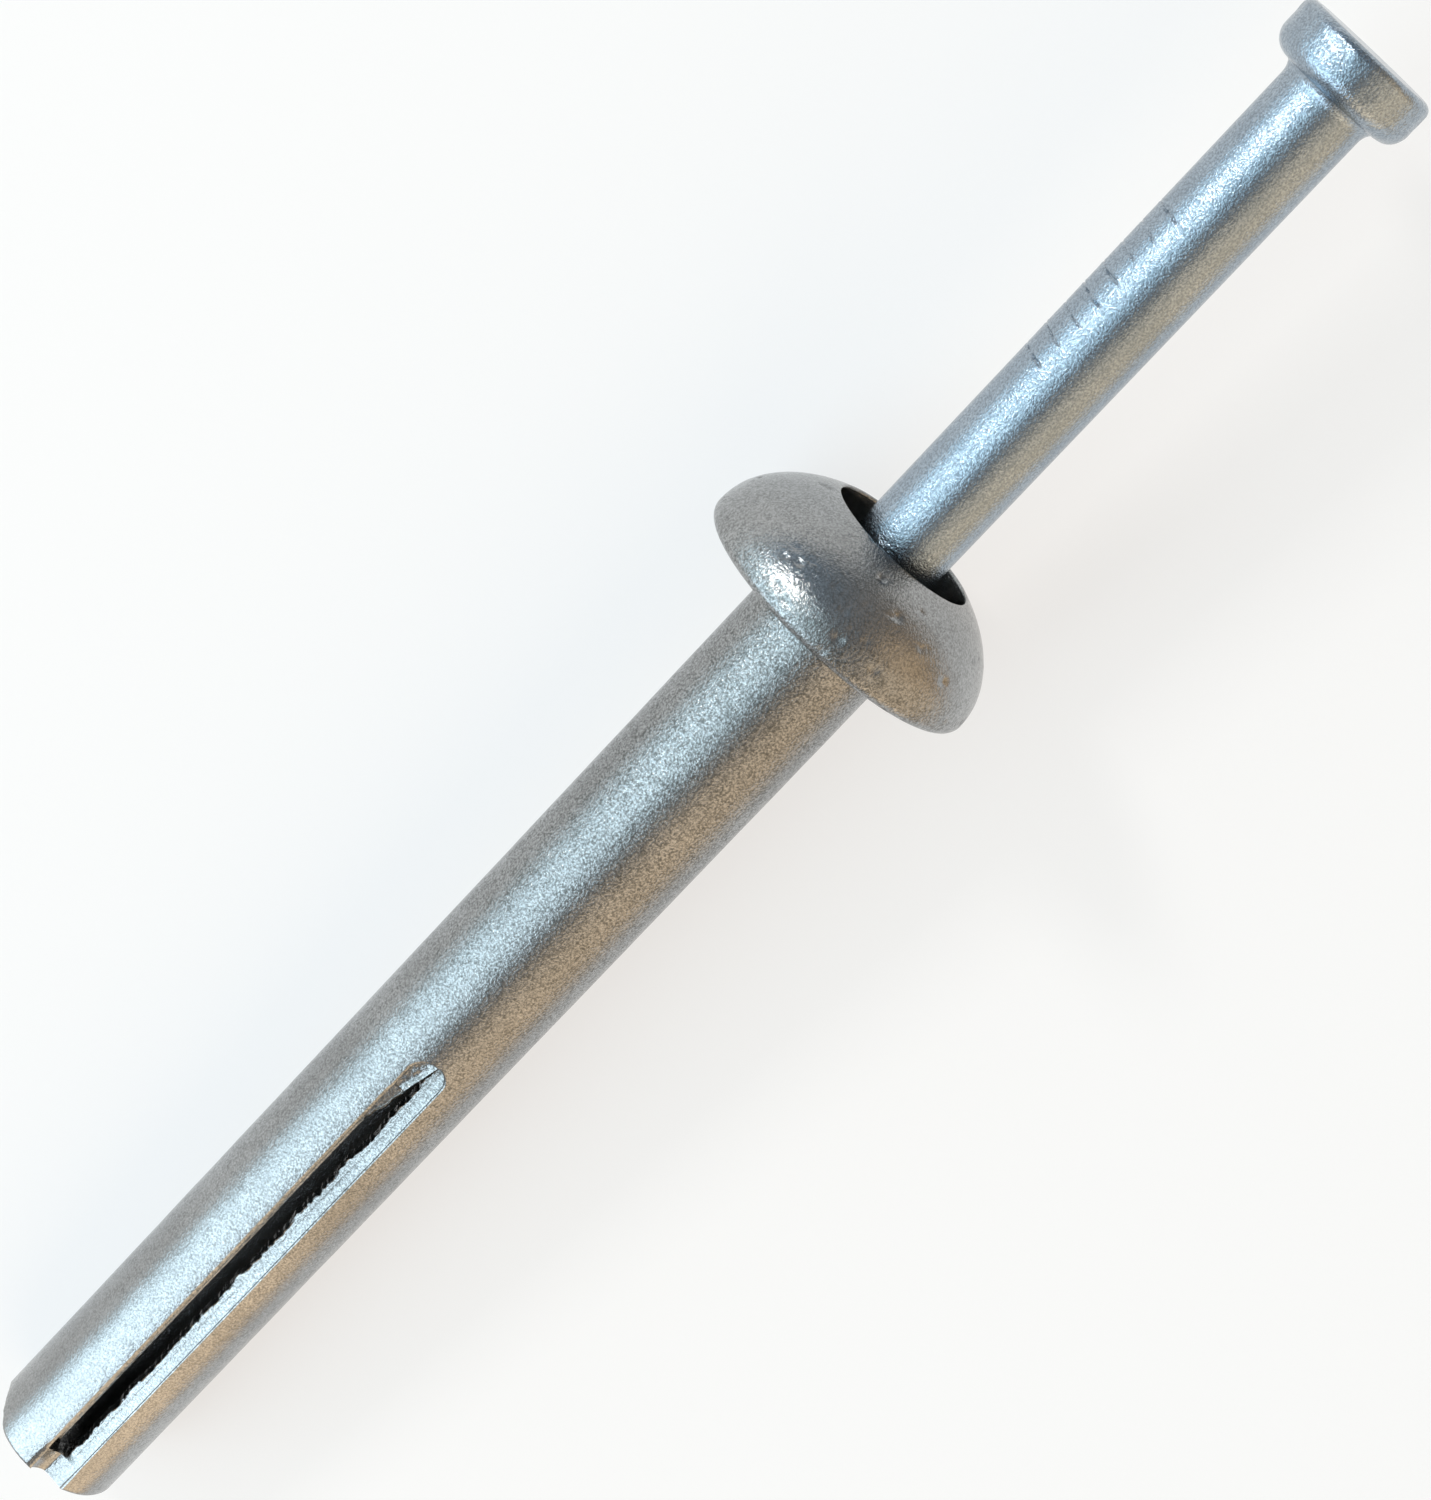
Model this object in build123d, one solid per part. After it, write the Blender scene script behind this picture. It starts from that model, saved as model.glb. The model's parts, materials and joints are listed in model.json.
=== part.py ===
from build123d import *
import os
from math import asin, atan2, cos, degrees, hypot, radians, sin, sqrt, tan

# Hammer drive anchor: a slotted die-cast body with a mushroom head, and the nail-like pin
# that is hammered down its bore to wedge the two legs apart. Millimetres.
# Each piece is built on its own axis, +X from the tip to the heads, with X = 0 at the
# head's bearing face, and is then laid down as the anchor rests on a table.

# Body shank
shank_diameter = 6.35
shank_length = 50.8
tip_round = 0.2
worn_corner_radius = 1.15

# Seam line of the casting's turned faces, turned from +Y onto whole wall beside a groove
seam_turn = 37.5

# Mushroom head
head_diameter = 13.15
head_height = 4.25
rim_round = 0.5
mouth_chamfer = 0.12
root_round = 0.2

# Drive pin
pin_diameter = 3.91
pin_head_diameter = 6.35
pin_head_thickness = 2.22
pin_head_top_round = 0.4
pin_head_lower_round = 0.8
neck_flare = 0.2
neck_length = 0.5
point_length = 2.8
point_tip_diameter = 0.7

# Expansion grooves
groove_count = 2
groove_width = 1.93
groove_length = 26.5
groove_draft = 4.3
groove_end_ramp = 1.4
groove_end_step = 0.13
groove_opening_width = 0.95
groove_tip_depth = 0.65

# Walls and clearances between the two pieces
tip_wall = 1.35
bore_clearance = 0.04
recess_clearance = 0.12
seat_clearance = 0.1
seated_gap = 0.05
point_gap = 0.45
point_lead = 1.0

# Radii that follow
shank_radius = shank_diameter / 2
head_radius = head_diameter / 2
pin_radius = pin_diameter / 2
pin_head_radius = pin_head_diameter / 2
point_tip_radius = point_tip_diameter / 2
bore_radius = pin_radius + bore_clearance
recess_radius = pin_head_radius + recess_clearance

# Stations along the axis that follow
tip_x = -shank_length
bore_end_x = tip_x + tip_wall
recess_floor_x = head_height - pin_head_thickness
groove_end_x = tip_x + groove_length
pin_length = recess_floor_x + seated_gap - point_gap - bore_end_x
point_rest_x = groove_end_x + point_lead
pin_seat_x = point_rest_x + pin_length
pin_stroke = pin_seat_x - recess_floor_x - seated_gap

# Groove floor height over the axis, set so that the bore breaks through it as wide as stated
groove_floor_z = sqrt(bore_radius**2 - (groove_opening_width / 2) ** 2)
groove_edge_z = sqrt(shank_radius**2 - (groove_width / 2) ** 2)


def circle_at(piece, x, radius):
    """The circular edge of a turned piece that lies nearest to a station and a radius."""
    circles = piece.edges().filter_by(GeomType.CIRCLE)
    return circles.sort_by(lambda edge: hypot(edge.arc_center.X - x, edge.radius - radius))[0]


def body_section():
    """Half section of the casting without its grooves, in the X-Y plane."""
    dome_reach = head_height - rim_round
    mouth_angle = degrees(asin(recess_radius / head_radius))
    crown = dome_reach / cos(radians(mouth_angle))
    seat_radius = pin_radius + neck_flare + seat_clearance
    seat_depth = (seat_radius - bore_radius) * neck_length / neck_flare
    with BuildSketch() as section:
        with BuildLine():
            Polyline((bore_end_x, 0), (tip_x, 0), (tip_x, shank_radius), (0, shank_radius))
            Line((0, shank_radius), (0, head_radius - rim_round))
            JernArc((0, head_radius - rim_round), (0, 1), rim_round, -90)
            EllipticalCenterArc(
                (rim_round, 0), crown, head_radius, mouth_angle, arc_size=90 - mouth_angle
            )
            Polyline(
                (head_height, recess_radius),
                (recess_floor_x, recess_radius),
                (recess_floor_x, seat_radius),
                (recess_floor_x - seat_depth, bore_radius),
                (bore_end_x, bore_radius),
                (bore_end_x, 0),
            )
        make_face()
    return section.sketch


def groove_cutter():
    """One groove on the +Z side: drafted walls, round upper end, ramped floor, shallow at the tip."""
    clear = shank_radius * 1.2
    floor_width = groove_width - 2 * (groove_edge_z - groove_floor_z) * tan(radians(groove_draft))
    run = groove_length + groove_width
    round_x = run / 2 - floor_width / 2
    plan = Rectangle(run - floor_width, floor_width) + Pos(round_x, 0) * Circle(floor_width / 2)
    plan = Pos(groove_end_x - run / 2, 0, groove_floor_z) * plan
    walls = extrude(plan, clear - groove_floor_z, taper=-groove_draft)
    side = Polyline(
        (tip_x - groove_width, shank_radius - groove_tip_depth),
        (tip_x, shank_radius - groove_tip_depth),
        (bore_end_x, groove_floor_z),
        (groove_end_x - groove_end_ramp, groove_floor_z),
        (groove_end_x, shank_radius - groove_end_step),
        (groove_end_x + groove_width, shank_radius - groove_end_step),
        (groove_end_x + groove_width, clear),
        (tip_x - groove_width, clear),
        close=True,
    )
    floor = extrude(Plane.XZ * make_face(side), groove_width, both=True)
    return walls & floor


def worn_corner():
    """What is missing at the well-rounded outer corner of one leg's end, square to the groove."""
    radius = worn_corner_radius
    corner = Pos(tip_x, shank_radius) * Rectangle(2 * radius, 2 * radius)
    kept = Pos(tip_x + radius, shank_radius - radius) * Circle(radius)
    return extrude(corner - kept, shank_radius, both=True)


def build_anchor_body():
    """The casting: turned form, mouth eased, tip and root rounded, grooves cut from the tip."""
    casting = Rot(seam_turn, 0, 0) * revolve(body_section(), Axis.X)
    casting = chamfer(circle_at(casting, head_height, recess_radius), mouth_chamfer)
    casting = fillet(circle_at(casting, tip_x, shank_radius), tip_round)
    casting = fillet(circle_at(casting, 0, shank_radius), root_round)
    groove = groove_cutter()
    for index in range(groove_count):
        casting -= Rot(index * 360 / groove_count, 0, 0) * groove
    return casting - worn_corner()


def build_drive_pin():
    """The nail, turned about its axis, with its head's underside at the supplied position."""
    top_x = pin_seat_x + pin_head_thickness
    outline = Polyline(
        (point_rest_x, 0),
        (point_rest_x, point_tip_radius),
        (point_rest_x + point_length, pin_radius),
        (pin_seat_x - neck_length, pin_radius),
        (pin_seat_x, pin_radius + neck_flare),
        (pin_seat_x, pin_head_radius),
        (top_x, pin_head_radius),
        (top_x, 0),
        close=True,
    )
    pin = revolve(make_face(outline), Axis.X)
    pin = fillet(circle_at(pin, top_x, pin_head_radius), pin_head_top_round)
    return fillet(circle_at(pin, pin_seat_x, pin_head_radius), pin_head_lower_round)


def lie_angle():
    """How far the axis rises towards the heads when the rim and the groove's two edges touch a table."""
    edge_x = tip_x + tip_round
    along = rim_round - edge_x
    drop = head_radius - rim_round - groove_edge_z
    return degrees(atan2(drop, along) + asin(rim_round / hypot(along, drop)))


def main():
    os.makedirs("parts", exist_ok=True)
    lay_down = Rot(0, -lie_angle(), 0)
    pieces = {"anchor_body": build_anchor_body(), "drive_pin": build_drive_pin()}
    for node, piece in pieces.items():
        export_step(lay_down * piece, f"parts/{node}.step")
    print("pin stroke", round(pin_stroke, 3), "mm, lie angle", round(lie_angle(), 3), "degrees")


main()
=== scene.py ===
import json
from math import asin, cos, hypot, pi, radians, sin, sqrt, tan

import bmesh
import bpy
import numpy as np
from mathutils import Matrix, Vector, noise


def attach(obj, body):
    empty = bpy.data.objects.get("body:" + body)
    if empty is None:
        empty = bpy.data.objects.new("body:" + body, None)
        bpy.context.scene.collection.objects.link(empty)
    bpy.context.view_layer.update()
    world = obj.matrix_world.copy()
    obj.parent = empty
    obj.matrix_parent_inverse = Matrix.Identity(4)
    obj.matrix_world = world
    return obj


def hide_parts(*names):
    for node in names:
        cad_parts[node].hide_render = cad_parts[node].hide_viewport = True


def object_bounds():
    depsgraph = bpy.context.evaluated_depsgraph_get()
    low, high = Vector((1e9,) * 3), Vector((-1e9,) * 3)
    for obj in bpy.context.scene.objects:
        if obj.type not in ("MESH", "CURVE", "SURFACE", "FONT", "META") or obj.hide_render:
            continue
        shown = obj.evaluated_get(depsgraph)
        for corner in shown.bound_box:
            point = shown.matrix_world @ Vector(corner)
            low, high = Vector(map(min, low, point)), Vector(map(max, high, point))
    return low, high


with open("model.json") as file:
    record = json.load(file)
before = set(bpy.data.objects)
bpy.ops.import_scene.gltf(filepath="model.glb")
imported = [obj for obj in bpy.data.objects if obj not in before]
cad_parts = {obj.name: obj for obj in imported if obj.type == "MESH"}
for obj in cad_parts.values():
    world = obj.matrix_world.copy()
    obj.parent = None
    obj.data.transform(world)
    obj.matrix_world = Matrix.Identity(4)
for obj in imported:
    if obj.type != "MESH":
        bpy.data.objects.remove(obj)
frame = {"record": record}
cad_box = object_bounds()

# Hammer drive anchor: a slotted die casting with a mushroom head, and the plated nail that is
# driven down its bore. Both pieces are made in millimetres on the anchor's own axis, +X from the
# tip to the heads, X = 0 at the head's bearing face, and are then laid down where the frame says.

MM = 0.001

# Casting
SHANK_R = 3.16
TIP_X = -50.795
TIP_ROUND = 0.2
WORN_CORNER_R = 1.15
ROOT_ROUND = 0.2
HEAD_R = 6.565
RIM_ROUND = 0.5
DOME_REACH = 3.75
MOUTH_ROUND = 0.12
MOUTH_LIP_DEPTH = 0.114
RECESS_R = 3.295
RECESS_FLOOR_X = 2.03
SEAT_R = 2.255
SEAT_END_X = 1.38
BORE_R = 1.995
BORE_END_X = -49.45

# Unevenness of the casting's skin beyond a radius: the depths of its slow and of its short waves,
# and pits of up to a radius and a depth in its head
SKIN_FROM_R = 2.9
SKIN_WAVES = (0.018, 0.008)
PITS_PER_MM2 = 0.9
PIT_R = 0.3
PIT_DEPTH = 0.09
PITS_FROM_X = 0.02
PIT_SEED = 5

# Expansion grooves: where they end at the skin and at the floor, half the floor's width, the height
# over the axis at which they open into the bore, the walls' draft, and a seed for each groove
GROOVE_END_X = -24.3
GROOVE_ROUND_END_X = -24.37
GROOVE_HALF = 0.775
GROOVE_FLOOR_Z = 1.9376
GROOVE_DRAFT = radians(4.3)
GROOVE_SEEDS = (11, 29)

# Rounded lips of the walls: their radius, the most of a wall's height that they take, how far beyond
# the floor's rim the skin's height is read, and the least height of a wall. The lips on the +Y side
# are worn wider than high, by a factor that doubles towards the tip, between two stations
LIP_ROUND = 0.12
LIP_SHARE = 0.7
LIP_SETBACK = 0.02
LEAST_WALL = 0.04
LIP_WEAR = 1.6
LIP_WEAR_SIDE_Y = 0.3
TIP_WEAR_X = (-49.9, -48.9)

# Web that closes the bore at the tip: its depth under the skin there, its rise per millimetre
# towards the heads, its ragged end, and the length before that over which it drops to the bore
WEB_DEPTH = 0.74
WEB_RISE = 0.08
WEB_END_X = -49.33
WEB_END_WAVES = 0.08
WEB_RAMP = 0.25

# Dish of the web: where it is lowest, as a share of the half width, and how far and with which power
# it rises from there to the -Y and to the +Y edge
DISH_LOW = 0.15
DISH_BEVEL = (0.4, 1.2)
DISH_LEDGE = (0.38, 1.7)

# Opening into the bore: how far the cut goes under the bore's edge, the mean place of the flash edge
# on the -Y side, the depth, length and seed of each of its waves, the depth of its burrs, the ledge's
# edge on the +Y side, and how far both close, between two stations, towards the upper end
OPENING_SINK = 0.12
FLASH_Y = 0.2
FLASH_WAVES = ((0.10, 1.5, 0), (0.06, 0.45, 1), (0.07, 0.2, 8))
FLASH_BURRS = 0.04
LEDGE_Y = 0.44
CLOSING = 0.55
CLOSING_X = (-25.7, -25.05)

# Bevel on the -Y side: its height and its slope from a distance to the middle, the +Y up to which it
# reaches where the opening is closed, a step along it between two distances, and its raised edge
BEVEL_Z = 2.5
BEVEL_Y = 0.17
BEVEL_SLOPE = 0.66
BEVEL_TO_Y = 0.3
STEP_HEIGHT = 0.04
STEP_Y = (0.3, 0.55)
FLASH_CREST = 0.03

# Ledge on the +Y side: its height over the bore's edge and its slope, and the depth of the fine
# scrapes along bevel and ledge
LEDGE_RISE = 0.05
LEDGE_SLOPE = 0.3
SCRAPE_DEPTH = 0.012

# Leaves of flash in the groove's upper end, a low rag and a tongue nearly as high as the skin: the
# X between which each rises, a point (x, y) on its slanting edge, that edge's slant, the depth and
# length of its waves, the leaf's height, and the height of the edge's crest over it
RAG_X = (-28.6, -28.2)
RAG_EDGE = (-28.3, 0.36)
RAG_SLANT = 0.16
RAG_WAVES = (0.12, 0.35)
RAG_Z = 2.22
RAG_CREST = 0.05
TONGUE_X = (-26.5, -26.15)
TONGUE_EDGE = (-26.3, 0.22)
TONGUE_SLANT = 0.19
TONGUE_WAVES = (0.04, 0.4)
TONGUE_Z = 2.7
TONGUE_CREST = 0.13

# How far the tongue rises between two stations, its greatest height, the depth of its bumps, and how
# much both leaves fall per millimetre towards +Y
TONGUE_RISE = 0.1
TONGUE_RISE_X = (-25.4, GROOVE_END_X)
TONGUE_TOP_Z = 3.0
TONGUE_BUMPS = 0.03
LEAF_TILT = 0.1

# Drive pin, and the unevenness of its head beyond a radius
PIN_R = 1.95
PIN_POINT_X = -23.29
PIN_POINT_LENGTH = 2.8
PIN_POINT_R = 0.35
PIN_SEAT_X = 27.78
PIN_NECK_REACH = 0.65
PIN_NECK_R = 2.155
PIN_HEAD_R = 3.17
PIN_HEAD_THICKNESS = 2.21
PIN_HEAD_TOP_ROUND = 0.4
PIN_HEAD_LOWER_ROUND = 0.86
PIN_HEAD_FROM_R = 2.3
PIN_HEAD_WAVES = (0.02, 0.055)

# Grip marks on the pin. The slant is along the axis for 60 degrees round it, the side is the angle
# of the marks' middle from +Y towards +Z, and the reach is how far they go to either side of it
GRIP_COUNT = 8
GRIP_SPACING = 1.06
GRIP_FIRST_X = 13.3
GRIP_DEPTH = 0.08
GRIP_HALF_WIDTH = 0.08
GRIP_SLANT = -0.09
GRIP_SIDE_DEG = 10.0
GRIP_REACH_DEG = 43.0
GRIP_SEED = 3

# Mesh fineness: points round each piece, how far the tip is finely divided, how far apart a
# groove's rows of points are, how many divide its round end, and where its floor has points, as
# shares of its half width
BODY_SEGMENTS = 240
PIN_SEGMENTS = 176
FINE_TIP_TO_X = -47
GROOVE_ROW = 0.065
GROOVE_END_ROWS = 22
GROOVE_ACROSS = np.concatenate([np.linspace(-1, -0.58, 8), np.arange(-0.55, 0.8, 0.028), (0.86, 0.93, 1)])

# How far a groove's cutter reaches past the tip and over the axis, clear of the casting
CUTTER_PAST_TIP = 1.2
CUTTER_TOP_Z = 4.4

# Levels of a groove's wall, each a height and a lean outwards. Up to 1 the height is a share of the
# drafted wall, from 1 to 2 it goes up the rounded lip, past 2 it is over the skin, and the last level
# is the cutter's open top. The lean is in lip radii, and the drafted wall has none of its own
WALL_LEVELS = ((0.1, 0), (1, 0), (1.29, 0.05), (1.55, 0.2), (1.73, 0.4), (1.84, 0.6), (2.1, 0.85), (4, 1.4))

# How far over the CAD's lowest point the anchor's points are kept, and the angle from which an edge
# is shaded sharp
STAND_GAP = 0.002
SHARP_ANGLE = radians(32)


# Outlines of the turned forms

def arc(x, r, radius, start, end, steps):
    """Points on a circular arc in the (x, r) half plane, angles in degrees from +X towards +r."""
    turns = np.radians(np.linspace(start, end, steps + 1))
    return [(x + radius * cos(a), r + radius * sin(a)) for a in turns]


def run(start, end, step):
    """Points along a straight line from one (x, r) point up to, not including, the other."""
    count = max(1, round(hypot(end[0] - start[0], end[1] - start[1]) / step))
    return [tuple(np.add(start, np.subtract(end, start) * i / count)) for i in range(count)]


def casting_outline():
    """The casting's half section without grooves: tip, shank, mushroom head, recess and bore."""
    mouth = asin((RECESS_R + MOUTH_ROUND) / HEAD_R)
    crown = DOME_REACH / cos(asin(RECESS_R / HEAD_R))
    dome = [(RIM_ROUND + crown * cos(a), HEAD_R * sin(a)) for a in np.linspace(pi / 2, mouth, 60)]
    lip_x = dome[-1][0] - MOUTH_LIP_DEPTH
    points = run((TIP_X, 0), (TIP_X, SHANK_R - TIP_ROUND), 0.22)
    points += arc(TIP_X + TIP_ROUND, SHANK_R - TIP_ROUND, TIP_ROUND, 180, 90, 6)
    points += run((TIP_X + TIP_ROUND, SHANK_R), (FINE_TIP_TO_X, SHANK_R), 0.25)[1:]
    points += run((FINE_TIP_TO_X, SHANK_R), (-ROOT_ROUND, SHANK_R), 0.8)
    points += arc(-ROOT_ROUND, SHANK_R + ROOT_ROUND, ROOT_ROUND, -90, 0, 6)
    points += run((0, SHANK_R + ROOT_ROUND), (0, HEAD_R - RIM_ROUND), 0.4)[1:]
    points += arc(RIM_ROUND, HEAD_R - RIM_ROUND, RIM_ROUND, 180, 90, 12)
    points += dome[1:]
    points += arc(lip_x, RECESS_R + MOUTH_ROUND, MOUTH_ROUND, -20, -90, 5)
    points += run((lip_x, RECESS_R), (RECESS_FLOOR_X, RECESS_R), 0.25)[1:]
    points += run((RECESS_FLOOR_X, RECESS_R), (RECESS_FLOOR_X, SEAT_R), 0.3)
    points += run((RECESS_FLOOR_X, SEAT_R), (SEAT_END_X, BORE_R), 0.3)
    points += run((SEAT_END_X, BORE_R), (BORE_END_X, BORE_R), 4.2)
    points += run((BORE_END_X, BORE_R), (BORE_END_X, 0), 0.7)
    return points + [(BORE_END_X, 0)]


def pin_outline():
    """The nail's half section from its blunt point to the flat top of its head."""
    top_x = PIN_SEAT_X + PIN_HEAD_THICKNESS
    cone_end_x = PIN_POINT_X + PIN_POINT_LENGTH
    neck_x = PIN_SEAT_X - PIN_NECK_REACH
    marks_from = GRIP_FIRST_X - 0.6
    marks_to = GRIP_FIRST_X + GRIP_COUNT * GRIP_SPACING + 0.2
    points = [(PIN_POINT_X, 0)]
    points += run((PIN_POINT_X, PIN_POINT_R), (cone_end_x, PIN_R), 0.5)
    points += run((cone_end_x, PIN_R), (1, PIN_R), 1.6)
    points += run((1, PIN_R), (marks_from, PIN_R), 0.35)
    points += run((marks_from, PIN_R), (marks_to, PIN_R), 0.04)
    points += run((marks_to, PIN_R), (neck_x, PIN_R), 0.3)
    for t in np.linspace(0, 1, 10):
        points.append((neck_x + PIN_NECK_REACH * t, PIN_R + (PIN_NECK_R - PIN_R) * t**3))
    lower_r = PIN_HEAD_R - PIN_HEAD_LOWER_ROUND
    points += run((PIN_SEAT_X, PIN_NECK_R), (PIN_SEAT_X, lower_r), 0.14)[1:]
    points += arc(PIN_SEAT_X + PIN_HEAD_LOWER_ROUND, lower_r, PIN_HEAD_LOWER_ROUND, 180, 90, 12)
    points += run(points[-1], (top_x - PIN_HEAD_TOP_ROUND, PIN_HEAD_R), 0.1)[1:]
    top_r = PIN_HEAD_R - PIN_HEAD_TOP_ROUND
    points += arc(top_x - PIN_HEAD_TOP_ROUND, top_r, PIN_HEAD_TOP_ROUND, 90, 0, 10)
    points += run(points[-1], (top_x, 0), 0.2)[1:]
    return points + [(top_x, 0)]


# Meshes

def object_of(mesh, name):
    """An object of a mesh, linked to the scene."""
    piece = bpy.data.objects.new(name, mesh)
    bpy.context.scene.collection.objects.link(piece)
    return piece


def turned(name, outline, segments):
    """Closed turned mesh about the X axis from an outline that starts and ends on the axis."""
    x, r = np.array(outline[1:-1]).T
    turns = np.arange(segments) * 2 * pi / segments
    rings = [np.repeat(x[:, None], segments, 1), r[:, None] * np.cos(turns), r[:, None] * np.sin(turns)]
    rings = np.stack(rings, -1).reshape(-1, 3)
    points = np.vstack([rings, [[outline[0][0], 0, 0], [outline[-1][0], 0, 0]]])
    ring = np.arange(len(x) * segments).reshape(-1, segments)
    after = np.roll(ring, -1, 1)
    quads = np.stack([ring[:-1], after[:-1], after[1:], ring[1:]], -1).reshape(-1, 4)
    first, last = len(rings), len(rings) + 1
    fans = [(first, b, a) for a, b in zip(ring[0], after[0])]
    fans += [(a, b, last) for a, b in zip(ring[-1], after[-1])]
    mesh = bpy.data.meshes.new(name)
    mesh.from_pydata(points.tolist(), [], quads.tolist() + [tuple(map(int, f)) for f in fans])
    return object_of(mesh, name)


def coordinates(mesh):
    """A mesh's vertex positions as an array."""
    flat = np.empty(len(mesh.vertices) * 3)
    mesh.vertices.foreach_get("co", flat)
    return flat.reshape(-1, 3)


def move_vertices(mesh, points):
    """Puts a mesh's vertices where an array says."""
    mesh.vertices.foreach_set("co", np.asarray(points, float).ravel())
    mesh.update()


def wear_corner(mesh):
    """Rounds the outer corner of the +Y leg's end, which is worn on the one anchor shown."""
    points = coordinates(mesh)
    centre_x, centre_y = TIP_X + WORN_CORNER_R, SHANK_R - WORN_CORNER_R
    dx, dy = points[:, 0] - centre_x, points[:, 1] - centre_y
    reach = np.hypot(dx, dy)
    outside = (dx < 0) & (dy > 0) & (reach > WORN_CORNER_R)
    scale = WORN_CORNER_R / reach[outside]
    points[outside, 0] = centre_x + dx[outside] * scale
    points[outside, 1] = centre_y + dy[outside] * scale
    move_vertices(mesh, points)


def casting_skin(x, radius):
    """Where a point of the casting lies on its outer skin, and not in its bore or recess."""
    recess = (x > RECESS_FLOOR_X - 0.1) & (radius < RECESS_R + 0.02)
    return (radius > SKIN_FROM_R) & ~recess


def pin_head_skin(x, radius):
    """Where a point of the pin lies on the outer part of its head."""
    return (radius > PIN_HEAD_FROM_R) & (x > PIN_SEAT_X - 0.1)


def soften(mesh, chosen, waves):
    """Makes the chosen part of a turned mesh uneven, always inwards, by the depths in millimetres
    of its slow and of its short waves."""
    points = coordinates(mesh)
    radius = np.hypot(points[:, 1], points[:, 2])
    coarse, fine = waves
    for i in np.nonzero(chosen(points[:, 0], radius))[0]:
        place = Vector(points[i])
        depth = coarse * (1 + noise.noise(place * 0.55)) / 2 + fine * (1 + noise.noise(place * 2.1)) / 2
        points[i, 1:] *= 1 - depth / radius[i]
    move_vertices(mesh, points)


# The grooves' cutter

def smooth(low, high, value):
    """0 below a low value, 1 above a high one, and a smooth step between them."""
    t = np.clip((value - low) / (high - low), 0, 1)
    return t * t * (3 - 2 * t)


def crest(distance, width):
    """A narrow ridge: 1 at distance 0, fading out over a width."""
    return np.exp(-((distance / width) ** 2))


def rough(x, y, seed, size):
    """Noise between about -1 and 1 that changes over the given size in millimetres."""
    return noise.noise(Vector((x / size, y / size, seed * 3.7)))


def skin_height(y):
    """Height of the shank's skin over its axis at a distance from the middle plane."""
    return sqrt(SHANK_R**2 - y**2)


def flash_edge(x, y, seed):
    """How far the ragged edge of flash over the bore stands off its mean line."""
    waves = sum(depth * rough(x, 0, seed + own, length) for depth, length, own in FLASH_WAVES)
    return waves + FLASH_BURRS * rough(x, y, seed + 2, 0.1)


def web_height(x, y):
    """Height of the dished web that closes the bore at the tip."""
    off_low = DISH_LOW - y / GROOVE_HALF
    bevel = DISH_BEVEL[0] * (max(off_low, 0) / (1 + DISH_LOW)) ** DISH_BEVEL[1]
    ledge = DISH_LEDGE[0] * (max(-off_low, 0) / (1 - DISH_LOW)) ** DISH_LEDGE[1]
    return SHANK_R - WEB_DEPTH + bevel + ledge + WEB_RISE * (x - TIP_X)


def strip_height(x, y, seed):
    """Height of a groove's floor over the bore: the opening into it, which closes towards the upper
    end, between a broad bevel with a ragged flash edge on -Y and a low ledge on +Y."""
    ragged = flash_edge(x, y, seed)
    scrapes = SCRAPE_DEPTH * noise.noise(Vector((x / 4.0, y / 0.05, seed * 1.3)))
    closing = CLOSING * smooth(*CLOSING_X, x)
    if -(FLASH_Y + ragged - closing) < y < LEDGE_Y - closing:
        return GROOVE_FLOOR_Z - OPENING_SINK
    if y > BEVEL_TO_Y:
        return GROOVE_FLOOR_Z + LEDGE_RISE + LEDGE_SLOPE * (y - LEDGE_Y) + scrapes
    step_y = abs(y) + 0.03 * rough(x, 0, seed + 3, 2.2)
    height = BEVEL_Z + BEVEL_SLOPE * (abs(y) - BEVEL_Y) + STEP_HEIGHT * smooth(*STEP_Y, step_y) + scrapes
    return height + FLASH_CREST * crest(abs(y) - FLASH_Y - ragged, 0.04)


def inside_leaf(x, y, edge, slant, waves, seed):
    """How far a point lies inside the slanting and wavy edge of a leaf of flash."""
    depth, length = waves
    return y - edge[1] + slant * (x - edge[0]) - depth * rough(x, y, seed, length)


def floor_height(x, y, seed):
    """Height of a groove's floor: web, strip over the bore, and a rag and a tongue of flash on it."""
    web_end = WEB_END_X + WEB_END_WAVES * rough(0, y, seed + 6, 0.25)
    web = 1 - smooth(web_end - WEB_RAMP, web_end, x)
    height = strip_height(x, y, seed) * (1 - web) + web_height(x, y) * web
    inside = inside_leaf(x, y, RAG_EDGE, RAG_SLANT, RAG_WAVES, seed + 4)
    rag = smooth(0, 0.06, inside) * smooth(*RAG_X, x)
    height += (RAG_Z + RAG_CREST * crest(inside - 0.06, 0.04) - LEAF_TILT * y - height) * rag
    inside = inside_leaf(x, y, TONGUE_EDGE, TONGUE_SLANT, TONGUE_WAVES, seed + 5)
    tongue = smooth(0, 0.05, inside) * smooth(*TONGUE_X, x)
    top = TONGUE_Z - LEAF_TILT * y + TONGUE_RISE * smooth(*TONGUE_RISE_X, x)
    top += TONGUE_BUMPS * rough(x, y, seed + 7, 0.22) + TONGUE_CREST * crest(inside, 0.18)
    return height + (min(top, TONGUE_TOP_Z) - height) * tongue


def lip_spread(x, y):
    """How much wider than high a groove's lip is: worn on the +Y side, and more so at the tip."""
    if y <= LIP_WEAR_SIDE_Y:
        return 1
    return LIP_WEAR * (2 - smooth(*TIP_WEAR_X, x))


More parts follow.
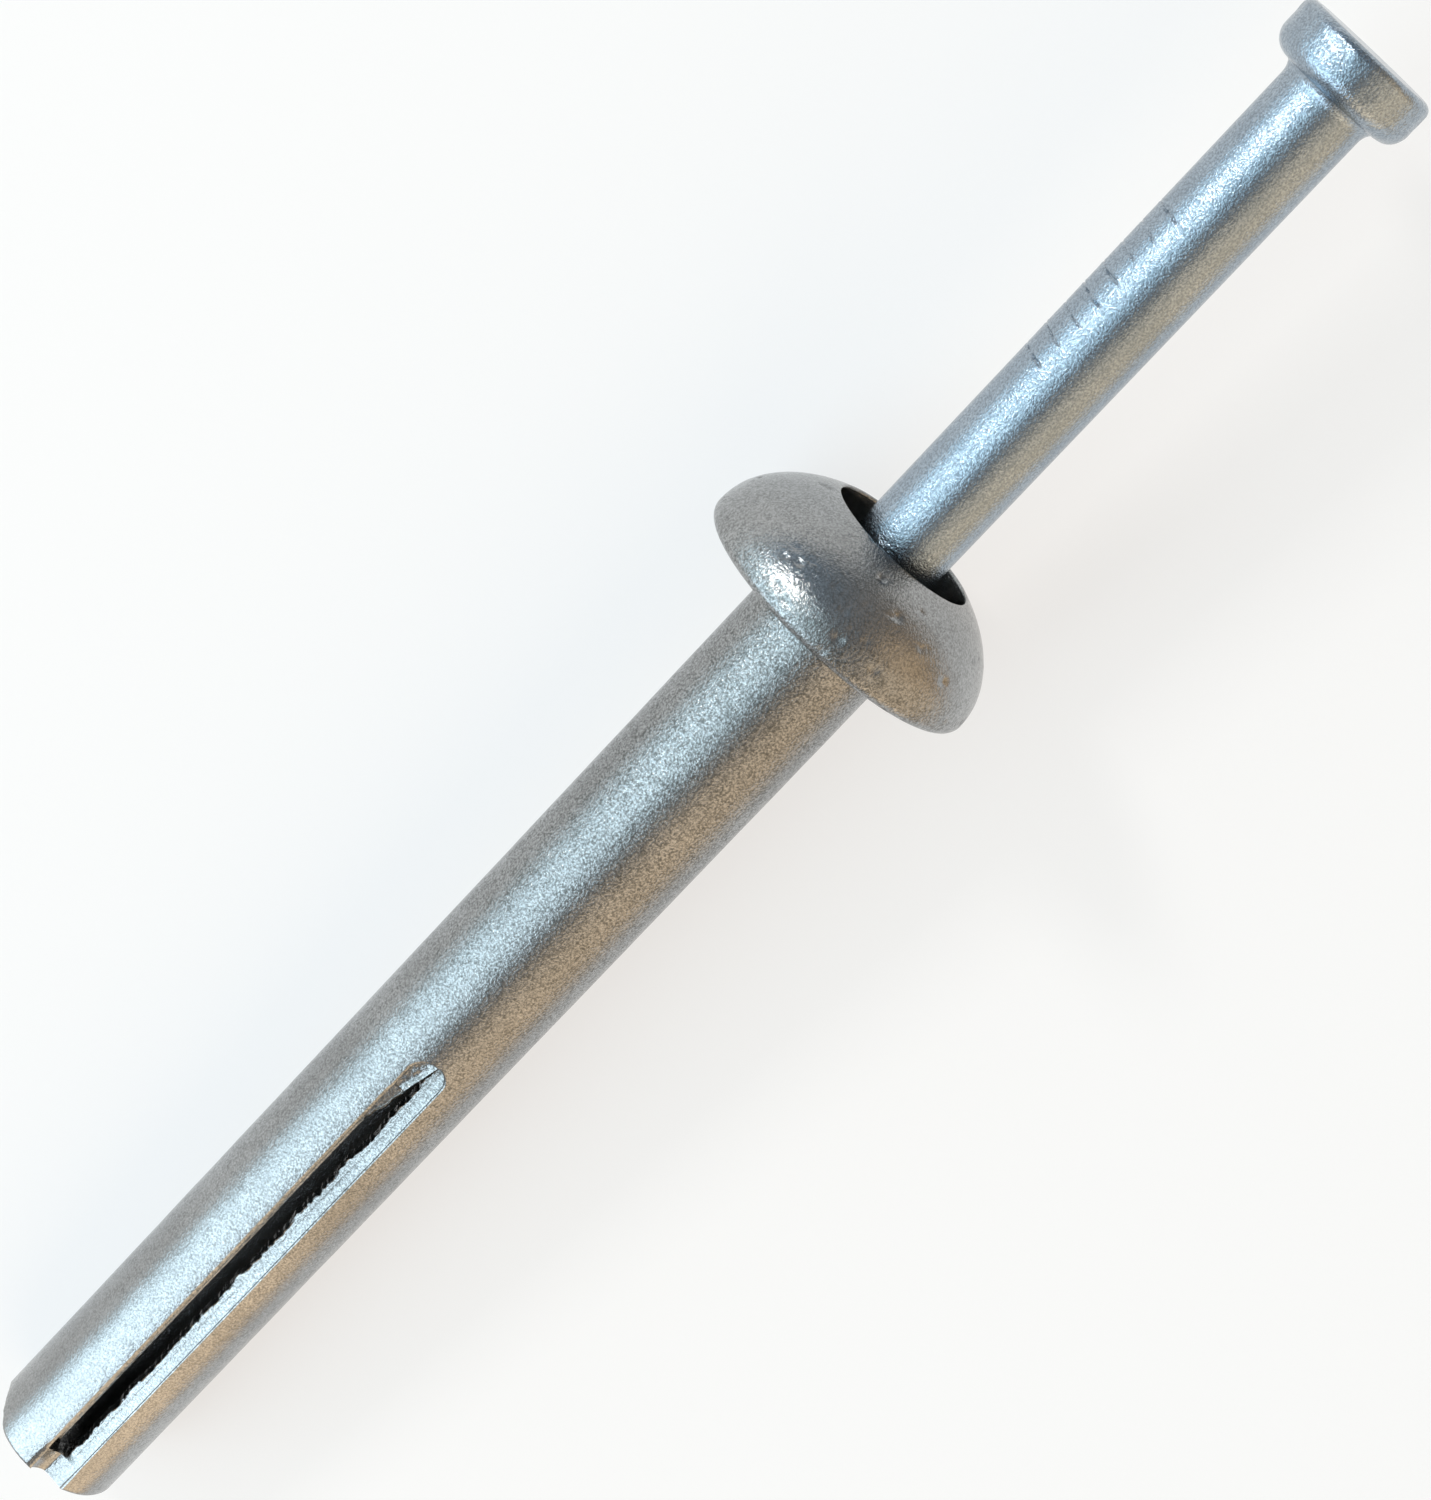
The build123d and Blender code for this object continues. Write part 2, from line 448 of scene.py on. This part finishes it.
def wall_point(rim, away, share, out):
    """The point of a groove's wall at one of its levels, outwards from a point of the floor's rim."""
    x, y, floor_z = rim
    edge_z = skin_height(abs(y) + LIP_SETBACK)
    depth = max(edge_z - floor_z, LEAST_WALL)
    lip = min(LIP_ROUND, depth * LIP_SHARE)
    if share <= 1:
        z = floor_z + (depth - lip) * share
        offset = (z - floor_z) * tan(GROOVE_DRAFT)
    else:
        offset = (edge_z - floor_z) * tan(GROOVE_DRAFT) + lip * out * lip_spread(x, y)
        skin_z = skin_height(abs(y) + LIP_SETBACK + abs(away.y) * offset)
        z = min(skin_z, edge_z) + lip * (share - 2)
    if share > 3:
        z = CUTTER_TOP_Z
    return x + away.x * offset, y + away.y * offset, z


def groove_cutter(name, seed):
    """What one groove takes out of the casting, on its +Z side, as a closed mesh."""
    round_x = GROOVE_ROUND_END_X - GROOVE_HALF
    straight = np.arange(TIP_X - CUTTER_PAST_TIP, round_x, GROOVE_ROW)
    curve = round_x + GROOVE_HALF * np.sin(np.linspace(0, pi / 2, GROOVE_END_ROWS)[1:-1])
    rows = np.concatenate([straight, curve])
    bend = np.maximum(rows - round_x, 0)
    half = np.sqrt(GROOVE_HALF**2 - bend**2)
    points, faces = [], []
    for x, h in zip(rows, half):
        points += [(x, h * t, float(floor_height(x, h * t, seed))) for t in GROOVE_ACROSS]
    apex = len(points)
    points.append((GROOVE_ROUND_END_X, 0, float(floor_height(GROOVE_ROUND_END_X, 0, seed))))
    n = len(GROOVE_ACROSS)
    for i in range(len(rows) - 1):
        for j in range(n - 1):
            a = i * n + j
            faces.append((a, a + 1, a + n + 1, a + n))
    last = (len(rows) - 1) * n
    faces += [(last + j, last + j + 1, apex) for j in range(n - 1)]
    left = [i * n + n - 1 for i in range(len(rows))]
    right = [i * n for i in range(len(rows))]
    end = list(range(n - 2, 0, -1))
    loop = right + [apex] + left[::-1] + end
    aways = {v: Vector((max(points[v][0] - round_x, 0), points[v][1], 0)).normalized() for v in loop}
    aways.update({v: Vector() for v in end})
    level = loop
    for share, out in WALL_LEVELS:
        new = list(range(len(points), len(points) + len(loop)))
        points += [wall_point(points[v], aways[v], share, out) for v in loop]
        for k in range(len(loop)):
            m = (k + 1) % len(loop)
            faces.append((level[k], level[m], new[m], new[k]))
        level = new
    faces.append(tuple(level))
    mesh = bpy.data.meshes.new(name)
    mesh.from_pydata([tuple(map(float, p)) for p in points], [], faces)
    mesh.validate()
    return object_of(mesh, name)


def bake(piece):
    """Replaces a piece's mesh by what its modifiers make of it, and drops the modifiers."""
    shown = piece.evaluated_get(bpy.context.evaluated_depsgraph_get())
    mesh = bpy.data.meshes.new_from_object(shown)
    piece.modifiers.clear()
    piece.data = mesh


def cut(piece, tool):
    """Takes the tool's volume out of the piece for good."""
    modifier = piece.modifiers.new("groove", "BOOLEAN")
    modifier.operation = "DIFFERENCE"
    modifier.solver = "EXACT"
    modifier.object = tool
    bake(piece)
    bpy.data.objects.remove(tool)


def keep_largest(mesh):
    """Drops crumbs that a cut has left loose from the casting."""
    edges = np.empty(len(mesh.edges) * 2, int)
    mesh.edges.foreach_get("vertices", edges)
    edges = edges.reshape(-1, 2)
    label = np.arange(len(mesh.vertices))
    while True:
        low = np.minimum(label[edges[:, 0]], label[edges[:, 1]])
        new = label.copy()
        np.minimum.at(new, edges[:, 0], low)
        np.minimum.at(new, edges[:, 1], low)
        new = new[new]
        if (new == label).all():
            break
        label = new
    keep = label == np.bincount(label).argmax()
    if keep.all():
        return
    work = bmesh.new()
    work.from_mesh(mesh)
    work.verts.ensure_lookup_table()
    bmesh.ops.delete(work, geom=[v for v in work.verts if not keep[v.index]], context="VERTS")
    work.to_mesh(mesh)
    work.free()


# Node trees

MATH = "ShaderNodeMath"
VECTOR_MATH = "ShaderNodeVectorMath"
RANGE = "ShaderNodeMapRange"
NOISE = "ShaderNodeTexNoise"
MIX = "ShaderNodeMix"


def add_node(tree, kind, inputs=(), **settings):
    """Adds a node with its settings. Its inputs are given in order, or by name or number: each as a
    value, as a socket to link from, or as a node, which links from that node's first live output."""
    made = tree.nodes.new(kind)
    for key, value in settings.items():
        setattr(made, key, value)
    given = inputs if isinstance(inputs, dict) else dict(enumerate(inputs))
    for key, value in given.items():
        if isinstance(value, bpy.types.Node):
            value = next(socket for socket in value.outputs if socket.enabled)
        if isinstance(value, bpy.types.NodeSocket):
            tree.links.new(value, made.inputs[key])
        else:
            made.inputs[key].default_value = value
    return made


def geometry_tree(name, floats, whole):
    """A Geometry Nodes tree that takes a geometry and named numbers, and gives a geometry."""
    tree = bpy.data.node_groups.new(name, "GeometryNodeTree")
    sockets = [("Geometry", "NodeSocketGeometry")]
    sockets += [(title, "NodeSocketFloat") for title in floats]
    sockets += [(title, "NodeSocketInt") for title in whole]
    for title, kind in sockets:
        tree.interface.new_socket(title, in_out="INPUT", socket_type=kind)
    tree.interface.new_socket("Geometry", in_out="OUTPUT", socket_type="NodeSocketGeometry")
    return tree, add_node(tree, "NodeGroupInput").outputs


def move_points(tree, geometry, normal, distance, material, chosen=True):
    """Ends a tree by moving its points along their normals, as real geometry with a material."""
    push = add_node(tree, VECTOR_MATH, {0: normal, "Scale": distance}, operation="SCALE")
    shape = {"Geometry": geometry, "Selection": chosen, "Offset": push}
    moved = add_node(tree, "GeometryNodeSetPosition", shape)
    real = add_node(tree, "GeometryNodeRealizeInstances", {"Geometry": moved})
    dressed = add_node(tree, "GeometryNodeSetMaterial", {"Geometry": real, "Material": material})
    add_node(tree, "NodeGroupOutput", {"Geometry": dressed})


def pit_tree(material):
    """Scatters shallow round pits over a mesh by pushing its vertices in."""
    floats = ("Pits per mm2", "Pit radius mm", "Pit depth mm", "From X mm")
    tree, given = geometry_tree("casting pits", floats, ("Seed",))
    position = add_node(tree, "GeometryNodeInputPosition")
    normal = add_node(tree, "GeometryNodeInputNormal")
    x = add_node(tree, "ShaderNodeSeparateXYZ", [position]).outputs[0]
    there = add_node(tree, MATH, [x, given["From X mm"]], operation="GREATER_THAN")
    spread = {"Mesh": given["Geometry"], "Selection": there, "Density": given["Pits per mm2"]}
    spread["Seed"] = given["Seed"]
    centres = add_node(tree, "GeometryNodeDistributePointsOnFaces", spread)
    ask = {"Geometry": centres, "Sample Position": position}
    nearest = add_node(tree, "GeometryNodeSampleNearest", ask, domain="POINT")
    ask = {"Geometry": centres, "Value": position, "Index": nearest}
    centre = add_node(tree, "GeometryNodeSampleIndex", ask, data_type="FLOAT_VECTOR", domain="POINT")
    away = add_node(tree, VECTOR_MATH, [position, centre], operation="DISTANCE")
    draw = {2: 0.35, 3: 1.0, "ID": nearest, "Seed": given["Seed"]}
    size = add_node(tree, "FunctionNodeRandomValue", draw, data_type="FLOAT")
    size = add_node(tree, MATH, [size, 2.0], operation="POWER")
    radius = add_node(tree, MATH, [given["Pit radius mm"], size], operation="MULTIPLY")
    share = add_node(tree, MATH, [away, radius], operation="DIVIDE")
    slope = add_node(tree, RANGE, [share, 0.1, 1.0, 1.0, 0.0], interpolation_type="SMOOTHSTEP")
    depth = add_node(tree, MATH, [slope, size], operation="MULTIPLY")
    depth = add_node(tree, MATH, [depth, given["Pit depth mm"]], operation="MULTIPLY")
    inward = add_node(tree, MATH, [depth, -1.0], operation="MULTIPLY")
    move_points(tree, given["Geometry"], normal, inward, material, there)
    return tree


def grip_tree(material):
    """Presses a row of narrow transverse marks, with raised lips, into one side of the pin."""
    floats = ("First X mm", "Spacing mm", "Depth mm", "Half width mm", "Slant mm", "Side deg", "Reach deg")
    tree, given = geometry_tree("grip marks", floats, ("Count", "Seed"))
    position = add_node(tree, "GeometryNodeInputPosition")
    normal = add_node(tree, "GeometryNodeInputNormal")
    x, y, z = add_node(tree, "ShaderNodeSeparateXYZ", [position]).outputs

    # Angle off the marked side, in degrees
    turn = add_node(tree, MATH, [z, y], operation="ARCTAN2")
    turn = add_node(tree, MATH, [turn, 180 / pi], operation="MULTIPLY")
    off = add_node(tree, MATH, [turn, given["Side deg"]], operation="SUBTRACT")
    off = add_node(tree, MATH, [off, 180.0, -180.0], operation="WRAP")

    # Distance along the axis from the nearest mark, which slants and wanders a little
    wave = add_node(tree, NOISE, {"Vector": position, "Scale": 1.4, "Detail": 3.0}, noise_dimensions="3D")
    wave = add_node(tree, MATH, [wave, 0.5], operation="SUBTRACT")
    wave = add_node(tree, MATH, [wave, 0.22], operation="MULTIPLY")
    slant = add_node(tree, MATH, [off, 60.0], operation="DIVIDE")
    slant = add_node(tree, MATH, [slant, given["Slant mm"]], operation="MULTIPLY")
    start = add_node(tree, MATH, [given["First X mm"], slant], operation="ADD")
    along = add_node(tree, MATH, [x, wave], operation="ADD")
    along = add_node(tree, MATH, [along, start], operation="SUBTRACT")
    index = add_node(tree, MATH, [along, given["Spacing mm"]], operation="DIVIDE")
    index = add_node(tree, MATH, [index], operation="ROUND")
    index = add_node(tree, MATH, [index, 0.0], operation="MAXIMUM")
    last = add_node(tree, MATH, [given["Count"], 1.0], operation="SUBTRACT")
    index = add_node(tree, MATH, [index, last], operation="MINIMUM")
    middle = add_node(tree, MATH, [index, given["Spacing mm"]], operation="MULTIPLY")
    away = add_node(tree, MATH, [along, middle], operation="SUBTRACT")
    away = add_node(tree, MATH, [away], operation="ABSOLUTE")
    share = add_node(tree, MATH, [away, given["Half width mm"]], operation="DIVIDE")

    # Profile of a mark: a groove with a low lip on either side
    groove = add_node(tree, RANGE, [share, 0.0, 1.0, -1.0, 0.0], interpolation_type="SMOOTHSTEP")
    lip = add_node(tree, MATH, [share, 1.25], operation="SUBTRACT")
    lip = add_node(tree, MATH, [lip, 2.0], operation="POWER")
    lip = add_node(tree, MATH, [lip, -9.0], operation="MULTIPLY")
    lip = add_node(tree, MATH, [lip], operation="EXPONENT")
    profile = add_node(tree, MATH, [lip, 0.22, groove], operation="MULTIPLY_ADD")

    # Strength: drawn for each mark, patchy along it, and fading at its ends
    patches = add_node(tree, NOISE, {"Vector": position, "Scale": 1.9, "Detail": 2.0}, noise_dimensions="3D")
    patches = add_node(tree, RANGE, [patches, 0.38, 0.6, 0.4, 1.0])
    draw = {2: 0.45, 3: 1.0, "ID": index, "Seed": given["Seed"]}
    strength = add_node(tree, "FunctionNodeRandomValue", draw, data_type="FLOAT")
    reach = add_node(tree, MATH, [strength, 0.5, 0.55], operation="MULTIPLY_ADD")
    reach = add_node(tree, MATH, [reach, given["Reach deg"]], operation="MULTIPLY")
    near = add_node(tree, MATH, [reach, 0.7], operation="MULTIPLY")
    turned_off = add_node(tree, MATH, [off], operation="ABSOLUTE")
    fade = add_node(tree, RANGE, [turned_off, near, reach, 1.0, 0.0], interpolation_type="SMOOTHSTEP")
    depth = given["Depth mm"]
    for factor in (profile, fade, strength, patches):
        depth = add_node(tree, MATH, [factor, depth], operation="MULTIPLY")
    move_points(tree, given["Geometry"], normal, depth, material)
    return tree


def apply_tree(piece, tree, **values):
    """Runs a tree on a piece with its named sizes, and keeps the result as a plain mesh."""
    modifier = piece.modifiers.new(tree.name, "NODES")
    modifier.node_group = tree
    names = {s.name: s.identifier for s in tree.interface.items_tree if s.in_out == "INPUT"}
    for name, value in values.items():
        modifier[names[name.replace("_", " ")]] = value
    bake(piece)


# Finishes

def linear(code):
    """An sRGB hex colour as linear RGBA."""
    parts = [int(code[i : i + 2], 16) / 255 for i in (1, 3, 5)]
    return [c / 12.92 if c <= 0.04045 else ((c + 0.055) / 1.055) ** 2.4 for c in parts] + [1]


def per_mm(size):
    """Texture scale at which a pattern repeats about once in the given millimetres."""
    return 1 / (size * MM)


def new_material(name):
    """An empty node material and its tree."""
    material = bpy.data.materials.new(name)
    material.use_nodes = True
    material.node_tree.nodes.clear()
    return material, material.node_tree


# Range in which nearly all values of a noise lie
NOISE_SPAN = (0.3, 0.7)


def finish_metal(tree, colour, gloss, height, depth):
    """Ends a metal's tree with its colour and roughness, and relief of a depth in millimetres."""
    bump = add_node(tree, "ShaderNodeBump", {"Strength": 1.0, "Distance": depth * MM, "Height": height})
    look = {"Base Color": colour, "Metallic": 1.0, "Roughness": gloss, "Normal": bump}
    shader = add_node(tree, "ShaderNodeBsdfPrincipled", look)
    add_node(tree, "ShaderNodeOutputMaterial", {"Surface": shader})


def cast_zinc():
    """Zinc alloy as die cast and tumbled: a neutral satin grey, frosted by a fine grain that breaks
    the reflections into sparkle, with darker specks where the skin is porous. The grain is drawn
    coarser than it is, so that it shows, and is fainter towards the tip and on the rubbed head."""
    material, tree = new_material("zinc_alloy_die_cast_tumbled")
    where = add_node(tree, "ShaderNodeTexCoord").outputs["Object"]
    cloud = {"Vector": where, "Scale": per_mm(4.0), "Detail": 4.0, "Roughness": 0.55}
    cloud = add_node(tree, NOISE, cloud)
    mottle = {"Vector": where, "Scale": per_mm(0.42), "Detail": 3.0, "Roughness": 0.65}
    mottle = add_node(tree, NOISE, mottle)
    grain = {"Vector": where, "Scale": per_mm(0.10), "Detail": 2.0, "Roughness": 0.75}
    grain = add_node(tree, NOISE, grain)

    # Strength of the grain along the anchor
    x = add_node(tree, "ShaderNodeSeparateXYZ", [where]).outputs[0]
    coarse = add_node(tree, RANGE, [x, -48 * MM, -12 * MM, 0.5, 1.0])
    rubbed = add_node(tree, RANGE, [x, 0.0, 1.5 * MM, 1.0, 0.62])
    coarse = add_node(tree, MATH, [coarse, rubbed], operation="MULTIPLY")

    # Slow clouds in the grey, and dark specks
    share = add_node(tree, RANGE, [cloud, *NOISE_SPAN, 0.0, 1.0])
    inputs = {0: share, 6: linear("#A0A1A1"), 7: linear("#B0B1B1")}
    colour = add_node(tree, MIX, inputs, data_type="RGBA", clamp_factor=True)
    speck = add_node(tree, RANGE, [grain, 0.39, 0.61, 0.0, 1.0])
    porous = add_node(tree, RANGE, [mottle, *NOISE_SPAN, 0.6, 1.2])
    speck = add_node(tree, MATH, [speck, porous], operation="MULTIPLY")
    speck = add_node(tree, MATH, [speck, coarse], operation="MULTIPLY")
    inputs = {0: speck, 6: colour, 7: linear("#646563")}
    colour = add_node(tree, MIX, inputs, data_type="RGBA", clamp_factor=True)

    # Satin that varies with the mottle and the grain, and their relief
    dull = add_node(tree, RANGE, [mottle, *NOISE_SPAN, 0.15, 0.21])
    frost = add_node(tree, RANGE, [grain, *NOISE_SPAN, -0.04, 0.05])
    gloss = add_node(tree, MATH, [dull, frost], operation="ADD")
    height = add_node(tree, MATH, [grain, coarse], operation="MULTIPLY")
    height = add_node(tree, MATH, [mottle, 0.6, height], operation="MULTIPLY_ADD")
    finish_metal(tree, colour, gloss, height, 0.030)
    return material


def plated_steel():
    """Drawn steel wire with bright zinc plate: nearly a mirror, slightly blue, with fine drawn
    streaks along the shank and small dull specks in the plate, drawn coarser so that they show."""
    material, tree = new_material("steel_bright_zinc_plated")
    where = add_node(tree, "ShaderNodeTexCoord").outputs["Object"]
    along = {"Vector": where, "Scale": (0.09, 1.0, 1.0)}
    along = add_node(tree, "ShaderNodeMapping", along, vector_type="POINT")
    cloud = {"Vector": where, "Scale": per_mm(3.0), "Detail": 3.0, "Roughness": 0.55}
    cloud = add_node(tree, NOISE, cloud)
    grain = {"Vector": where, "Scale": per_mm(0.09), "Detail": 2.0, "Roughness": 0.65}
    grain = add_node(tree, NOISE, grain)
    speck = {"Vector": where, "Scale": per_mm(0.3), "Detail": 3.0, "Roughness": 0.6}
    speck = add_node(tree, NOISE, speck)
    streak = {"Vector": along, "Scale": per_mm(0.12), "Detail": 2.0, "Roughness": 0.6}
    streak = add_node(tree, NOISE, streak)

    # Slow clouds in the blue grey, darker streaks, and dull specks
    share = add_node(tree, RANGE, [cloud, *NOISE_SPAN, 0.0, 1.0])
    inputs = {0: share, 6: linear("#A8B4BE"), 7: linear("#B5C0C9")}
    colour = add_node(tree, MIX, inputs, data_type="RGBA", clamp_factor=True)
    share = add_node(tree, RANGE, [streak, *NOISE_SPAN, 0.0, 0.4])
    inputs = {0: share, 6: colour, 7: linear("#8C9AA8")}
    colour = add_node(tree, MIX, inputs, data_type="RGBA", clamp_factor=True)
    share = add_node(tree, RANGE, [grain, 0.38, 0.62, 0.0, 0.8])
    inputs = {0: share, 6: colour, 7: linear("#7F8A94")}
    colour = add_node(tree, MIX, inputs, data_type="RGBA", clamp_factor=True)

    # Near mirror that varies with the clouds and the grain, and the relief of grain, specks, streaks
    dull = add_node(tree, RANGE, [cloud, *NOISE_SPAN, 0.13, 0.18])
    frost = add_node(tree, RANGE, [grain, *NOISE_SPAN, -0.04, 0.05])
    gloss = add_node(tree, MATH, [dull, frost], operation="ADD")
    height = add_node(tree, MATH, [speck, 0.7, grain], operation="MULTIPLY_ADD")
    height = add_node(tree, MATH, [streak, 0.2, height], operation="MULTIPLY_ADD")
    finish_metal(tree, colour, gloss, height, 0.026)
    return material


# How much of the floor's look, to the eye and in reflections, is plain white
FLOOR_WHITE_SHARE = 0.6


def studio_floor():
    """White matt studio floor, partly plain white to the eye and in reflections, that keeps the
    object's soft shadow."""
    material, tree = new_material("studio_floor_white_matt")
    path = add_node(tree, "ShaderNodeLightPath").outputs
    seen = add_node(tree, MATH, [path["Is Camera Ray"], path["Is Glossy Ray"]], operation="ADD")
    seen = add_node(tree, MATH, [seen, path["Is Transmission Ray"]], operation="ADD")
    seen = add_node(tree, MATH, [seen, 1.0], operation="MINIMUM")
    share = add_node(tree, MATH, [seen, FLOOR_WHITE_SHARE], operation="MULTIPLY")
    paint = add_node(tree, "ShaderNodeBsdfDiffuse", {"Color": linear("#F6F6F6")})
    glow = add_node(tree, "ShaderNodeEmission", {"Color": linear("#FFFFFF"), "Strength": 1.0})
    mixed = add_node(tree, "ShaderNodeMixShader", [share, paint, glow])
    add_node(tree, "ShaderNodeOutputMaterial", {"Surface": mixed})
    return material


# Pieces

mounts = {m["name"]: m for m in frame["record"]["mounts"]}
ahead = -Vector(mounts["shank"]["axis"]).normalized()
side = Vector((0, 1, 0))
up = ahead.cross(side)
lay_down = Matrix.Translation(mounts["shank"]["pos_m"]) @ Matrix((ahead, side, up)).transposed().to_4x4()


def lay(piece, material):
    """Turns a finished mesh from millimetres on the axis into its place, with one material, and
    flattens the few hundredths of a millimetre on which it stands on the table."""
    mesh = piece.data
    mesh.transform(lay_down @ Matrix.Scale(MM, 4))
    points = coordinates(mesh)
    points[:, 2] = np.maximum(points[:, 2], cad_box[0].z + STAND_GAP * MM)
    move_vertices(mesh, points)
    mesh.materials.clear()
    mesh.materials.append(material)
    mesh.set_sharp_from_angle(angle=SHARP_ANGLE)
    mesh.update()


def make_casting(material):
    """The die casting: turned, made uneven, worn, pitted, and slotted on both sides."""
    casting = turned("casting", casting_outline(), BODY_SEGMENTS)
    soften(casting.data, casting_skin, SKIN_WAVES)
    wear_corner(casting.data)
    apply_tree(
        casting,
        pit_tree(material),
        Pits_per_mm2=PITS_PER_MM2,
        Pit_radius_mm=PIT_R,
        Pit_depth_mm=PIT_DEPTH,
        From_X_mm=PITS_FROM_X,
        Seed=PIT_SEED,
    )
    for index, seed in enumerate(GROOVE_SEEDS):
        tool = groove_cutter("groove", seed)
        tool.data.transform(Matrix.Rotation(pi * index, 4, "X"))
        cut(casting, tool)
    keep_largest(casting.data)
    lay(casting, material)
    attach(casting, "anchor_body")
    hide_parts("anchor_body")


def make_pin(material):
    """The nail: turned, with an uneven head and a row of grip marks."""
    pin = turned("pin", pin_outline(), PIN_SEGMENTS)
    soften(pin.data, pin_head_skin, PIN_HEAD_WAVES)
    apply_tree(
        pin,
        grip_tree(material),
        First_X_mm=GRIP_FIRST_X,
        Spacing_mm=GRIP_SPACING,
        Depth_mm=GRIP_DEPTH,
        Half_width_mm=GRIP_HALF_WIDTH,
        Slant_mm=GRIP_SLANT,
        Side_deg=GRIP_SIDE_DEG,
        Reach_deg=GRIP_REACH_DEG,
        Count=GRIP_COUNT,
        Seed=GRIP_SEED,
    )
    lay(pin, material)
    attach(pin, "drive_pin")
    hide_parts("drive_pin")


make_casting(cast_zinc())
make_pin(plated_steel())

# Studio, in metres

FLOOR_REACH = 3.0

# Soft lamps over the anchor: name, tilt from straight overhead towards -Y in degrees, distance,
# width, where each starts and ends along X, radiance, and colour
LAMPS = (
    ("sky_panel", -56, 0.40, 0.56, (-0.62, 0.12), 1.18, (0.72, 0.94, 1.0)),
    ("sky_end", -50, 0.45, 0.56, (-0.85, -0.26), 2.15, (0.74, 0.88, 1.0)),
    ("warm_panel", 52, 0.40, 0.56, (-0.62, -0.13), 0.46, (1.0, 0.81, 0.58)),
    ("warm_pin", 52, 0.40, 0.56, (-0.12, 0.12), 0.62, (1.0, 0.84, 0.62)),
    ("warm_end", 52, 0.45, 0.56, (-0.85, -0.26), 0.78, (1.0, 0.77, 0.52)),
    ("warm_head", 52, 0.45, 0.40, (0.14, 0.50), 0.45, (1.0, 0.72, 0.42)),
    ("key", -58, 0.45, 0.07, (0.055, 0.125), 42.0, (1.0, 0.98, 0.95)),
)

# Dim room light, by the direction's share of the way from -Y to +Y: tan, darkest overhead, bluish
ROOM = ((0.0, "#CDB08F"), (0.36, "#9E968D"), (0.64, "#8F98A0"), (1.0, "#A5BCD0"))


def make_floor():
    """The plain floor on which the anchor lies."""
    mesh = bpy.data.meshes.new("studio_floor")
    s, z = FLOOR_REACH, cad_box[0].z
    mesh.from_pydata([(-s, -s, z), (s, -s, z), (s, s, z), (-s, s, z)], [], [(0, 1, 2, 3)])
    mesh.materials.append(studio_floor())
    floor = object_of(mesh, "studio_floor")


def softbox(name, tilt, distance, width, ends, radiance, colour):
    """A soft rectangular lamp that the camera doesn't see, with values as in LAMPS."""
    length = ends[1] - ends[0]
    lamp = bpy.data.lights.new(name, "AREA")
    lamp.shape = "RECTANGLE"
    lamp.size, lamp.size_y = length, width
    lamp.energy = radiance * pi * length * width
    lamp.color = colour
    light = bpy.data.objects.new(name, lamp)
    direction = Vector((0, -sin(radians(tilt)), cos(radians(tilt))))
    x = Vector((1, 0, 0))
    place = x * (ends[0] + ends[1]) / 2 + direction * distance
    turn = Matrix((x, direction.cross(x), direction)).transposed().to_4x4()
    light.matrix_world = Matrix.Translation(place) @ turn
    light.visible_camera = False
    bpy.context.scene.collection.objects.link(light)


def make_world():
    """The dim room's light, graded across Y."""
    world = bpy.data.worlds.new("studio")
    world.use_nodes = True
    tree = world.node_tree
    tree.nodes.clear()
    where = add_node(tree, "ShaderNodeTexCoord").outputs["Generated"]
    y = add_node(tree, "ShaderNodeSeparateXYZ", [where]).outputs[1]
    share = add_node(tree, MATH, [y, 0.5, 0.5], operation="MULTIPLY_ADD")
    ramp = add_node(tree, "ShaderNodeValToRGB", [share])
    stops = ramp.color_ramp.elements
    while len(stops) < len(ROOM):
        stops.new(0.5)
    for stop, (place, colour) in zip(stops, ROOM):
        stop.position = place
        stop.color = linear(colour)
    background = add_node(tree, "ShaderNodeBackground", {"Color": ramp, "Strength": 1.0})
    add_node(tree, "ShaderNodeOutputWorld", {"Surface": background})
    bpy.context.scene.world = world


make_floor()
for values in LAMPS:
    softbox(*values)
make_world()

# Camera at the photograph's viewpoint, found by fitting the anchor's outline: angles in radians,
# places in millimetres from the centre of the bearing face on the anchor's own axes, lens and sensor
# in millimetres, the nearest distance seen in metres, and the way of the anchor's axis on the page
VIEW_TILT = radians(16.51)
VIEW_ROLL = radians(16.5)
VIEW_FROM = (32.99, 38.53, 130.08)
VIEW_SIDE_SHIFT = 0.166
VIEW_LENS = 84.4
VIEW_SENSOR = 36
VIEW_NEAR = 0.01
AXIS_ON_PAGE = (0.688585, 0.725155)


def make_camera():
    """The camera at the photograph's viewpoint."""
    x, y, z = Vector((1, 0, 0)), Vector((0, 1, 0)), Vector((0, 0, 1))
    raised = cos(VIEW_ROLL) * z + sin(VIEW_ROLL) * y
    across = sin(VIEW_ROLL) * z - cos(VIEW_ROLL) * y
    along = cos(VIEW_TILT) * x - sin(VIEW_TILT) * raised
    back = sin(VIEW_TILT) * x + cos(VIEW_TILT) * raised
    right = AXIS_ON_PAGE[0] * along + AXIS_ON_PAGE[1] * across
    upward = AXIS_ON_PAGE[1] * along - AXIS_ON_PAGE[0] * across
    place = (Vector(VIEW_FROM) + VIEW_SIDE_SHIFT * across) * MM
    pose = Matrix.Translation(place) @ Matrix((right, upward, back)).transposed().to_4x4()
    camera_data = bpy.data.cameras.new("camera")
    camera_data.lens = VIEW_LENS
    camera_data.sensor_width = VIEW_SENSOR
    camera_data.clip_start = VIEW_NEAR
    camera = bpy.data.objects.new("camera", camera_data)
    camera.matrix_world = lay_down @ pose
    bpy.context.scene.collection.objects.link(camera)
    bpy.context.scene.camera = camera


make_camera()

bpy.context.scene.view_settings.view_transform = "Standard"
